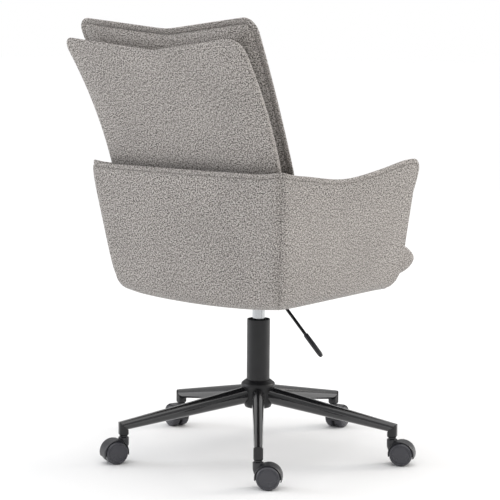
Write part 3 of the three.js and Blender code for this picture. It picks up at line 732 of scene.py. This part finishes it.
def border_points(piece, border):
    """Numbers of the piece's points that lie on the border line."""
    co = np.zeros(len(piece.data.vertices) * 3)
    piece.data.vertices.foreach_get("co", co)
    keys = {tuple(p) for p in np.round(border, 5)}
    return [i for i, p in enumerate(np.round(co.reshape(-1, 3), 5)) if tuple(p) in keys]


def border_of(face):
    """The border of a sheet, as one closed line of points."""
    return np.concatenate([face[:-1, 0], face[-1, :-1], face[:0:-1, -1], face[0, :0:-1]])


def spaced(count, edge):
    """Numbers from -1 to 1: even, but over the last stretch at each end they follow a quarter
    circle, so that a rounded edge gets enough points."""
    a = np.linspace(0, np.pi / 2, 9)[:-1]
    end = edge * (1 - np.cos(a)) - 1
    return np.concatenate([end, np.linspace(edge - 1, 1 - edge, count), -end[::-1]])


def leaning(curve, z):
    """How far back a leaning face is at a height: offset + slope s + curve s squared."""
    s = z - settings("back").level
    return curve[0] + curve[1] * s + curve[2] * s * s


def back_outline(c, t, half_widths, corner_top, middle_top, corner_round):
    """x and z of a back piece for c across (-1..1) and t up (0..1). The sides widen in two straight
    stretches, the top corners are round and the top edge falls towards its middle."""
    back = settings("back")
    level = mix(back.bottom, corner_top, t)
    full = np.interp(level, [back.bottom, settings("tub").rim, corner_top], half_widths)
    cut = np.clip(1 - (corner_top - level) / corner_round, 0, 1)
    half = full - 0.9 * corner_round * (1 - np.sqrt(1 - cut ** 2))
    valley = 0.08
    steep = (np.sqrt(c * c + valley ** 2) - valley) / (math.sqrt(1 + valley ** 2) - valley)
    return c * half, mix(back.bottom, mix(middle_top, corner_top, steep ** 0.95), t)


def fullness(a, b, edge_a, edge_b):
    """1 over a sheet and 0 on its border, with a quarter circle along each edge."""
    return np.prod([np.sqrt(1 - np.clip(1 - (1 - np.abs(v)) / edge, 0, 1) ** 2)
                    for v, edge in ((a, edge_a), (b, edge_b))], axis=0)


def back_sheets(outline, planes, edge, columns=50, rows=50):
    """The rear and front sheets of a back piece, from its rear, seam and front planes."""
    tall = (outline["corner_top"] - settings("back").bottom) / 2
    edges = edge / outline["half_widths"][-1], edge / tall
    c, b = np.meshgrid(spaced(columns, edges[0]), spaced(rows, edges[1]))
    x, z = back_outline(c, (b + 1) / 2, **outline)
    rear, seam, front = planes(z)
    full = fullness(c, b, *edges)
    return [np.stack([x, mix(seam, y, full), z], axis=-1) for y in (rear, front)]


def panel_planes(z):
    back = settings("back")
    rear = leaning(back.rear_face, z)
    return rear, rear - PANEL_SEAM, rear - back.panel_thick


def cushion_planes(z):
    back = settings("back")
    start = 0.86                    # share of the finished thickness before it is filled
    seam = leaning(back.seam_plane, z)
    behind = leaning(back.rear_face, z) - back.panel_thick - 0.002
    rear = np.minimum(behind, seam + back.aft)
    return mix(seam, rear, start), seam, seam - back.fore * start


PANEL_SEAM = 0.004              # the panel's seam lies this far in from its rear face
CUSHION_FLANGE_THICK = 0.005
SEAT_FRONT_HALF = 0.222         # half width of the seat cushion in front of the arms
SEAT_WIDENS_OVER = 0.02         # length over which it reaches that width
PANEL = {"half_widths": [0.212, 0.2335, 0.241], "corner_top": 0.9135, "middle_top": 0.890,
         "corner_round": 0.030}
CUSHION = {"half_widths": [0.198, 0.2205, 0.2315], "corner_top": 0.9435, "middle_top": 0.922,
           "corner_round": 0.018}


def cushion_flange(border, thick):
    """A flange outwards from the cushion's border, up one side, over the top and down the other."""
    back = settings("back")
    path = border[border[:, 2] > back.bottom + 0.02]
    start = int(np.argmax(np.linalg.norm(path - np.roll(path, 1, axis=0), axis=1)))
    path = np.roll(path, -start, axis=0)
    along = unit(np.gradient(path, axis=0))
    slope = back.seam_plane[1] + 2 * back.seam_plane[2] * (path[:, 2] - back.level)
    sides = unit(np.stack([0 * slope, -np.ones_like(slope), slope], axis=-1))
    ups = unit(np.cross(along, sides))
    centre = path.mean(axis=0)
    if (ups * (path - centre)).sum() < 0:
        ups = -ups
    fade = np.clip(np.minimum(np.arange(len(path)), np.arange(len(path))[::-1]) / 4, 0.2, 1)
    return strip(path, sides, ups, back.flange, thick, fade)


class CHAIR_OT_back(bpy.types.Operator):
    """Makes the thin rear panel and the thick back cushion with its flange"""
    bl_idname = "chair.back"
    bl_label = "Back"

    def execute(self, context):
        rear, front = back_sheets(PANEL, panel_planes, edge=0.012)
        panel = pillow("backrest_cover", rear, front)
        inflate(panel, border_points(panel, border_of(rear)), pressure=0.6, cap=0.004)
        rear, front = back_sheets(CUSHION, cushion_planes, edge=0.040)
        cushion = pillow("back_cushion_cover", rear, front)
        seam = border_of(rear)
        inflate(cushion, border_points(cushion, seam), pressure=4.0, cap=0.016)
        flange = build("back_cushion_flange", [cushion_flange(seam, CUSHION_FLANGE_THICK)],
                       finish_for("tweed"), sharp=70)
        for piece, node in ((panel, "backrest_panel"), (cushion, "back_cushion")):
            lay_cloth(piece)
            subdivided(piece)
            belongs(piece, "seat", "upholstery", node)
        belongs(flange, "seat", "upholstery")
        return {"FINISHED"}


def seat_sheets():
    """The top and bottom sheets of the seat cushion: a box with rounded edges that fills the tub
    from arm to arm and stands out in front."""
    tub, seat = settings("tub"), settings("seat")
    edge = 0.036
    long = (SEAT_HIGH.y - SEAT_LOW.y) / 2
    c, b = np.meshgrid(spaced(50, edge / 0.2), spaced(54, edge / long))
    y = mix(SEAT_LOW.y + 0.002, SEAT_HIGH.y, (b + 1) / 2)
    u = np.clip((y - tub.front) / (tub.rear_high - tub.front), 0, 1) * ARM
    wall = np.abs(tub_plan(u, SEAT_LOW.z + 0.02, tub.wall + seat.side_gap)[..., 0])
    wall = mix(wall, SEAT_FRONT_HALF, smooth_step((tub.front - y) / SEAT_WIDENS_OVER))
    corner = 0.022
    ends = np.minimum(y - SEAT_LOW.y, SEAT_HIGH.y - y)
    cut = np.clip(1 - ends / corner, 0, 1)
    half = wall - corner * (1 - np.sqrt(np.clip(1 - cut ** 2, 0, 1)))
    full = fullness(c, b, edge / 0.2, edge / long)
    middle = mix(SEAT_LOW.z, SEAT_HIGH.z, 0.48)
    top = mix(middle, SEAT_HIGH.z - 0.008, full)
    bottom = mix(middle, SEAT_LOW.z + 0.002, full)
    return [np.stack([c * half, y, z], axis=-1) for z in (top, bottom)]


def deck_sheets():
    """The top and bottom sheets of the wrapped deck: the board's box, grown by the cloth's
    thickness, with edges rounded in quarter circles."""
    wrap, edge = 0.0015, 0.006
    low, high = BOARD_LOW, BOARD_HIGH
    half = (high.x - low.x) / 2 + wrap
    long = (high.y - low.y) / 2 + wrap
    c, b = np.meshgrid(spaced(30, edge / half), spaced(30, edge / long))
    full = fullness(c, b, edge / half, edge / long)
    middle = (low.z + high.z) / 2
    y = (low.y + high.y) / 2 + b * long
    return [np.stack([c * half, y, mix(middle, face, full)], axis=-1)
            for face in (high.z + wrap, low.z)]


class CHAIR_OT_seat(bpy.types.Operator):
    """Makes the seat cushion and the wrapped deck under it"""
    bl_idname = "chair.seat"
    bl_label = "Seat"

    def execute(self, context):
        top, bottom = seat_sheets()
        cushion = pillow("seat_cushion_cover", top, bottom)
        seam = border_points(cushion, border_of(top))
        inflate(cushion, seam, pressure=3.0, cap=settings("seat").crown)
        lay_cloth(cushion)
        subdivided(cushion)
        belongs(cushion, "seat", "upholstery", "seat_cushion")
        deck = pillow("seat_deck_cover", *deck_sheets())
        lay_cloth(deck)
        belongs(deck, "seat", "upholstery", "seat_board")
        return {"FINISHED"}


# ---- enamelled base ----------------------------------------------------------------------------
BASE_TURN = math.radians(130)       # direction of the first leg
MITRE_LOW, MITRE_TOP = 0.0715, 0.0893


def mitre_height(r):
    """Height of the mitre between a leg and its socket, rising outwards."""
    base = settings("base")
    start = base.radius - base.socket / 2
    return MITRE_LOW + (r - start) * (MITRE_TOP - MITRE_LOW) / base.socket


def leg_shell():
    """An oval tube that tapers outwards: height and width change in proportion to the radius, and
    each line along it stops where it meets the mitre."""
    base = settings("base")
    end = base.radius - base.socket / 2
    root = 0.024
    a = np.linspace(0, 2 * np.pi, 48, endpoint=False)[None]

    def at(r):
        share = (r - root) / (end - root)
        top, bottom = mix(0.153, 0.0937, share), mix(0.114, MITRE_LOW, share)
        width = mix(0.029, 0.019, share)
        y = np.cos(a) * width / 2
        return np.stack(np.broadcast_arrays(r, y, (top + bottom + np.sin(a) * (top - bottom)) / 2), -1)

    start_z = at(end)[..., 2]
    fall = start_z - at(end + 0.001)[..., 2]
    slope = (MITRE_TOP - MITRE_LOW) / base.socket
    stop = end + (start_z - MITRE_LOW - 0.0002) / (slope + fall / 0.001)
    s = np.linspace(0, 1, 40)[:, None]
    r = mix(0.0262, stop, s)
    return sheet_of(at(r), wrap_columns=True, caps=True)


def socket_shell():
    """A square post with chamfered corners and foot, cut off along the mitre."""
    base = settings("base")
    h, c = base.socket / 2, 0.0035
    corners = [(-h, -h + c), (-h + c, -h), (h - c, -h), (h, -h + c),
               (h, h - c), (h - c, h), (-h + c, h), (-h, h - c)]
    outline = filleted(corners, 0.0008, closed=True, steps=4)
    foot = 0.060

    def ring(scale, z):
        flat = outline * scale
        height = np.broadcast_to(z, len(flat))
        return np.stack([base.radius + flat[:, 0], flat[:, 1], height], axis=-1)

    top = mitre_height(base.radius + outline[:, 0])
    inner_top = mitre_height(base.radius + outline[:, 0] * 0.96)
    rings = [ring(0.62, foot), ring(0.84, foot), ring(0.88, foot + 0.0004), ring(0.99, foot + 0.0022),
             ring(1, foot + 0.003), ring(1, top - 0.0006), ring(0.96, inner_top - 0.0001)]
    return sheet_of(np.stack(rings), wrap_columns=True, caps=True)


class CHAIR_OT_base(bpy.types.Operator):
    """Makes the hub, the five oval legs and their caster sockets"""
    bl_idname = "chair.base"
    bl_label = "Base"

    def execute(self, context):
        bore = COLUMN_HIGH.x + 0.0003
        low, high = HUB_LOW.z, HUB_HIGH.z
        drum, flare = 0.0315, HUB_HIGH.x
        hub = filleted([
            (bore, low), (0.0285, low), (drum, low + 0.008), (drum, high - 0.024),
            (flare, high - 0.013), (flare - 0.001, high - 0.007), (0.028, high), (bore, high)],
            0.002, closed=True)
        piece = build("hub", [lathe(hub, 96, loop=True)], finish_for("satin"))
        belongs(piece, "base", "base_enamel", "base_hub")
        for k in range(LEGS):
            turn = Matrix.Rotation(BASE_TURN + k * 2 * math.pi / LEGS, 4, "Z")
            for name, shell, finish, slot, node in (
                    ("leg", leg_shell(), "gloss", "leg_enamel", "leg"),
                    ("socket", socket_shell(), "satin", "base_enamel", "leg_socket")):
                placed = (moved(shell[0], turn), *shell[1:])
                piece = build(f"{name}_steel_{k + 1}", [placed], finish_for(finish), sharp=30)
                belongs(piece, "base", slot, f"{node}_{k + 1}")
        return {"FINISHED"}


# ---- casters -----------------------------------------------------------------------------------
def hood_shells(base):
    """The guard is an arch: a thin section with round shoulders carried round the axle. A turned
    barrel holds the stem, and a web joins them between the wheels."""
    r_out, thick, half = 0.0288, 0.0024, 0.0172
    section = filleted([
        (half, r_out - thick), (half, r_out - 0.0016), (half - 0.003, r_out), (-half + 0.003, r_out),
        (-half, r_out - 0.0016), (-half, r_out - thick)], 0.0022, closed=True, steps=6)
    a = np.linspace(math.radians(-16), math.radians(192), 72)
    centre = np.array([base.trail, 0, base.wheel])
    ups = np.stack([np.cos(a), 0 * a, np.sin(a)], axis=-1)
    sides = np.broadcast_to([0.0, 1.0, 0.0], ups.shape)
    path = np.broadcast_to(centre, ups.shape)
    guard = sheet_of(swept(path, sides, ups, section), wrap_columns=True, caps=True)
    barrel = lathe(filleted([
        (0, 0.030), (0.0085, 0.030), (0.0113, 0.040), (0.0115, 0.0553), (0.0095, 0.0553),
        (0.0088, 0.0538), (0, 0.0538)], 0.0008), 48)
    web_r = np.linspace(0, r_out - thick * 0.6, 3)[:, None]
    web_a = np.linspace(math.radians(-12), math.radians(190), 48)[None]
    web = [np.stack(np.broadcast_arrays(
        base.trail + web_r * np.cos(web_a), y, base.wheel + web_r * np.sin(web_a)), -1)
        for y in (0.0028, -0.0028)]
    rim = np.stack([border_of(web[0]), border_of(web[1])])
    return [guard, barrel, sheet_of(web[0]), sheet_of(web[1]), sheet_of(rim, wrap_columns=True)]


def wheel_shell(base, side):
    """A moulded wheel: a tread with round shoulders, a raised ring and a shallow dished face."""
    r = base.wheel
    inner, width = 0.0036, 0.018
    profile = filleted([
        (0.0033, 0), (r - 0.0015, 0), (r, 0.002), (r, width - 0.004), (r - 0.0022, width - 0.0008),
        (r - 0.0042, width), (r - 0.0056, width - 0.0014), (r - 0.0070, width - 0.0002),
        (0.006, width + 0.0004), (0, width + 0.0004)], 0.0012)
    points = turned(profile, 72)
    turn = Matrix.Rotation(-side * math.pi / 2, 4, "X")
    place = Matrix.Translation((base.trail, side * inner, r))
    return sheet_of(moved(points, place @ turn), wrap_columns=True)


class CHAIR_OT_casters(bpy.types.Operator):
    """Makes the hood, stem and twin wheels of each caster"""
    bl_idname = "chair.casters"
    bl_label = "Casters"

    def execute(self, context):
        base = settings("base")
        for k in range(1, LEGS + 1):
            stem = Vector(JOINTS[f"caster_{k}_swivel"]["pos_m"])
            axle = Vector(JOINTS[f"wheel_{k}_left_spin"]["pos_m"])
            yaw = math.atan2(axle.y - stem.y, axle.x - stem.x)
            place = Matrix.Translation((stem.x, stem.y, 0)) @ Matrix.Rotation(yaw, 4, "Z")

            def placed(shell):
                return (moved(shell[0], place), *shell[1:])

            hood = build(f"caster_guard_{k}", [placed(s) for s in hood_shells(base)],
                         finish_for("nylon"), sharp=35)
            belongs(hood, f"caster_{k}", "caster_plastic", f"caster_hood_{k}")
            pin = lathe(filleted([
                (0, 0.0502), (0.0055, 0.0502), (0.0055, 0.0566), (0.0085, 0.0566), (0.0085, 0.0594),
                (0.0055, 0.0594), (0.0055, 0.0725), (0, 0.0735)], 0.0005), 32)
            piece = build(f"stem_pin_{k}", [placed(pin)], finish_for("nylon"))
            belongs(piece, "base", "zinc_plate", f"caster_stem_{k}")
            for side, label in ((1, "left"), (-1, "right")):
                wheel = build(f"roller_{k}_{label}", [placed(wheel_shell(base, side))],
                              finish_for("wheel"), sharp=35)
                belongs(wheel, f"wheel_{k}_{label}", "wheel_nylon", f"wheel_{k}_{label}")
        return {"FINISHED"}


# ---- column and lever --------------------------------------------------------------------------
class CHAIR_OT_column(bpy.types.Operator):
    """Makes the column tube, its guide bush and the chromed gas cylinder"""
    bl_idname = "chair.column"
    bl_label = "Column"

    def execute(self, context):
        r, low, high = COLUMN_HIGH.x, COLUMN_LOW.z, COLUMN_HIGH.z
        inner = r - 0.002
        tube = filleted([
            (0.006, low), (r - 0.002, low), (r, low + 0.002), (r, high - 0.0008), (r - 0.0008, high),
            (inner, high), (inner, low + 0.004), (0.006, low + 0.004)], 0.0008, closed=True)
        piece = build("column_sleeve", [lathe(tube, 96, loop=True)], finish_for("satin"))
        belongs(piece, "base", "base_enamel", "column_tube")
        bush = filleted([
            (0.0143, 0.236), (0.0230, 0.236), (0.0230, 0.294), (0.018, 0.299), (0.0163, 0.299),
            (0.0143, 0.297)], 0.0008, closed=True)
        piece = build("guide_sleeve", [lathe(bush, 72, loop=True)], finish_for("acetal"))
        belongs(piece, "base", "guide_plastic", "guide_bush")
        c_low, c_high = CYLINDER_LOW.z, CYLINDER_HIGH.z
        cylinder = filleted([
            (0.0056, c_low), (0.013, c_low), (0.014, c_low + 0.001), (0.014, 0.328), (0.0133, c_high),
            (0.0035, c_high), (0.0035, c_high - 0.014), (0, c_high - 0.014), (0, c_high - 0.02),
            (0.0114, c_high - 0.02), (0.0114, c_low + 0.012), (0.0056, c_low + 0.012)],
            0.0005, closed=True)
        piece = build("chrome_cylinder", [lathe(cylinder, 72, loop=True)], finish_for("chrome"))
        belongs(piece, "seat", "cylinder_chrome", "gas_cylinder")
        return {"FINISHED"}


class CHAIR_OT_lever(bpy.types.Operator):
    """Makes the bent height lever and its grip"""
    bl_idname = "chair.lever"
    bl_label = "Lever"

    def execute(self, context):
        pivot = Vector(JOINTS["lever_lift"]["pos_m"])
        slope = math.radians(43.5)
        bend = np.array([-0.058, 0, pivot.z])
        fall = np.array([-math.cos(slope), 0, -math.sin(slope)])
        t = np.linspace(0, 1, 14)[:, None]
        start = bend + [0.012, 0, 0]
        curve = start * (1 - t) ** 2 + 2 * bend * t * (1 - t) + (bend + fall * 0.012) * t ** 2
        path = np.concatenate([[[pivot.x - 0.004, 0, pivot.z]], curve, [bend + fall * 0.142]])
        along = unit(np.gradient(path, axis=0))
        sides = np.broadcast_to([0.0, 1.0, 0.0], path.shape)
        ups = np.cross(along, sides)
        a = np.linspace(0, 2 * np.pi, 24, endpoint=False)
        ring = 0.0035 * np.stack([np.cos(a), np.sin(a)], axis=-1)
        rod = sheet_of(swept(path, sides, ups, ring), wrap_columns=True, caps=True)
        eye = filleted([(-0.006, -0.005), (0.0275, -0.003), (0.0275, 0.001), (0.008, 0.005),
                        (-0.006, 0.005)], 0.001, closed=True)
        ends = np.stack([np.stack([eye[:, 0] + pivot.x, np.full(len(eye), y), eye[:, 1] + pivot.z], -1)
                         for y in (-0.0065, 0.0065)])
        piece = build("lever_bar", [rod, sheet_of(ends, wrap_columns=True, caps=True)],
                      finish_for("satin"))
        belongs(piece, "lever", "leg_enamel", "lever_rod")
        grip = lathe(filleted([
            (0.0038, 0), (0.0046, 0), (0.0053, 0.002), (0.0055, 0.030), (0.0053, 0.056),
            (0.0036, 0.0612), (0, 0.062), (0, 0.042), (0.0038, 0.042)], 0.0016, closed=True), 40, loop=True)
        place = Matrix.Translation(Vector(bend + fall * 0.102)) @ Matrix.Rotation(
            -math.pi / 2 - slope, 4, "Y")
        piece = build("lever_handle", [(moved(grip[0], place), *grip[1:])], finish_for("nylon"))
        belongs(piece, "lever", "caster_plastic", "lever_grip")
        return {"FINISHED"}


class CHAIR_OT_hidden(bpy.types.Operator):
    """Gives the carried-over frame parts their finishes"""
    bl_idname = "chair.hidden"
    bl_label = "Frame finishes"

    def execute(self, context):
        legs = range(1, LEGS + 1)
        cad_finish(["seat_plate"], finish_for("satin"))
        cad_finish(["piston_rod", "thrust_bearing", "retaining_clip", "valve_pin", "lever_pivot",
                    "back_bracket_left", "back_bracket_right"], finish_for("zinc"))
        cad_finish([f"plate_bolt_{i}" for i in range(1, 5)], finish_for("zinc"))
        cad_finish([f"caster_axle_{k}" for k in legs], finish_for("zinc"))
        cad_finish(["dust_cover"], finish_for("dust"))
        return {"FINISHED"}


# ---- stage -------------------------------------------------------------------------------------
class CHAIR_OT_stage(bpy.types.Operator):
    """Sets the pale floor, the soft studio lights and the camera"""
    bl_idname = "chair.stage"
    bl_label = "Stage"

    def execute(self, context):
        scene = context.scene
        scene.view_settings.view_transform = "Standard"
        floor = new_finish("studio paper, pale", lambda tree: add_node(
            tree, "ShaderNodeBsdfPrincipled", {"Base Color": (0.9, 0.9, 0.9, 1), "Roughness": 0.9}))
        s = np.linspace(-60, 60, 3)
        ground = np.stack([*np.meshgrid(s, s, indexing="ij"), np.zeros((3, 3))], axis=-1)
        piece = build("studio_floor", [sheet_of(ground)], floor)
        world = bpy.data.worlds.new("studio_air")
        scene.world = world
        world.use_nodes = True
        air = world.node_tree
        air.nodes.clear()
        seen = add_node(air, "ShaderNodeLightPath").outputs["Is Camera Ray"]
        level = add_node(air, "ShaderNodeMapRange", {0: seen, "To Min": 0.45, "To Max": 1.0})
        glow = add_node(air, "ShaderNodeBackground", {0: (1, 1, 1, 1), 1: level.outputs[0]})
        add_node(air, "ShaderNodeOutputWorld", {0: glow.outputs[0]})
        ceiling = bpy.data.lights.new("ceiling", "SUN")
        ceiling.energy = 2.2
        ceiling.angle = math.radians(110)
        scene.collection.objects.link(bpy.data.objects.new("ceiling", ceiling))
        aim = Vector((0, 0, 0.5))
        for name, place, size, power, tone in (
                ("left_softbox", (3.2, 2.0, 1.4), 1.6, 38, "#f4f7ff"),
                ("right_softbox", (-2.2, -3.4, 1.8), 1.8, 70, "#fffaf4")):
            lamp = bpy.data.lights.new(name, "AREA")
            lamp.size = size
            lamp.energy = power
            lamp.color = linear(tone)
            light = bpy.data.objects.new(name, lamp)
            light.location = place
            light.rotation_euler = (aim - Vector(place)).to_track_quat("-Z", "Y").to_euler()
            scene.collection.objects.link(light)
        lens = bpy.data.cameras.new("camera")
        lens.lens = 122.4
        lens.sensor_width = 36
        camera = bpy.data.objects.new("camera", lens)
        forward = Vector((0.63823, -0.76011, -0.1226))
        roll = Matrix.Rotation(math.radians(0.44), 3, "Z")
        turn = forward.to_track_quat("-Z", "Y").to_matrix() @ roll
        camera.rotation_euler = turn.to_euler()
        camera.location = (-2.365, 2.848, 0.9113)
        scene.collection.objects.link(camera)
        scene.camera = camera
        return {"FINISHED"}


# ---- panel and registration --------------------------------------------------------------------
OPERATORS = (CHAIR_OT_stage, CHAIR_OT_tub, CHAIR_OT_back, CHAIR_OT_seat, CHAIR_OT_base,
             CHAIR_OT_casters, CHAIR_OT_column, CHAIR_OT_lever, CHAIR_OT_hidden)


class CHAIR_PT_panel(bpy.types.Panel):
    """Lists the chair's operators and settings"""
    bl_label = "Chair"
    bl_idname = "CHAIR_PT_panel"
    bl_space_type = "VIEW_3D"
    bl_region_type = "UI"
    bl_category = "Chair"

    def draw(self, context):
        for operator in OPERATORS:
            self.layout.operator(operator.bl_idname)
        for name, group in SETTINGS.items():
            box = self.layout.box()
            box.label(text=name)
            for key in group.__annotations__:
                box.prop(settings(name), key)


def register():
    for group in SETTINGS.values():
        bpy.utils.register_class(group)
    for name, group in SETTINGS.items():
        setattr(bpy.types.Scene, "chair_" + name, bpy.props.PointerProperty(type=group))
    for cls in (*OPERATORS, CHAIR_PT_panel):
        bpy.utils.register_class(cls)


def unregister():
    for cls in (CHAIR_PT_panel, *OPERATORS):
        bpy.utils.unregister_class(cls)
    for name in SETTINGS:
        delattr(bpy.types.Scene, "chair_" + name)
    for group in SETTINGS.values():
        bpy.utils.unregister_class(group)


def main():
    register()
    for operator in OPERATORS:
        group, name = operator.bl_idname.split(".")
        getattr(getattr(bpy.ops, group), name)()


if __name__ == "__main__":
    main()
